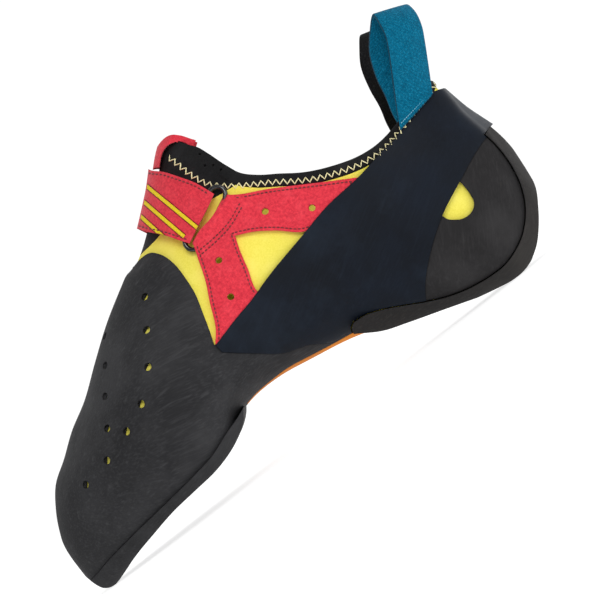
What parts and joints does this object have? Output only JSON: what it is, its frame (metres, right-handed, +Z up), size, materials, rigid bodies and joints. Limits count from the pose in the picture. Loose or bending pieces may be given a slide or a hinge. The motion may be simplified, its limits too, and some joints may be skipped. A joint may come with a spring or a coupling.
{
  "type": "climbing shoe",
  "caption": "Strongly downturned left climbing shoe with a rubber toe cap, heel tension band, instep strap with ring, and pull loops.",
  "frame": {"origin": "on the heel's flat spot, at the level of the floor that the shoe stands on", "axes": "+X from the toe to the heel, -Y to the outer side of the left foot, +Z up from the floor"},
  "size_m": [0.2502, 0.089, 0.131],
  "materials": {
    "upper_knit": "matt yellow knit",
    "stretch_cloth": "matt black stretch cloth",
    "insole_felt": "grey felt",
    "rand_rubber": "sanded charcoal rubber",
    "band_rubber": "smooth navy rubber",
    "heel_rubber": "ground rubber",
    "midsole_orange": "matt orange",
    "ring_metal": "gloss black",
    "strap_suede": "red microsuede",
    "blue_webbing": "blue woven webbing",
    "black_webbing": "black woven webbing"
  },
  "bodies": {
    "root": {"upper": "upper_knit", "tongue": "stretch_cloth", "collar_binding": "stretch_cloth", "insole": "insole_felt", "outsole": "rand_rubber", "arch_midsole": "midsole_orange", "toe_rand": "rand_rubber", "tension_rand": "band_rubber", "heel_cup": "rand_rubber", "heel_rim": "heel_rubber", "ring": "ring_metal", "strap_base_lateral": "strap_suede", "strap": "strap_suede", "tongue_tab": "strap_suede", "pull_loop_lateral": "blue_webbing", "pull_loop_medial": "black_webbing"}
  },
  "joints": []
}
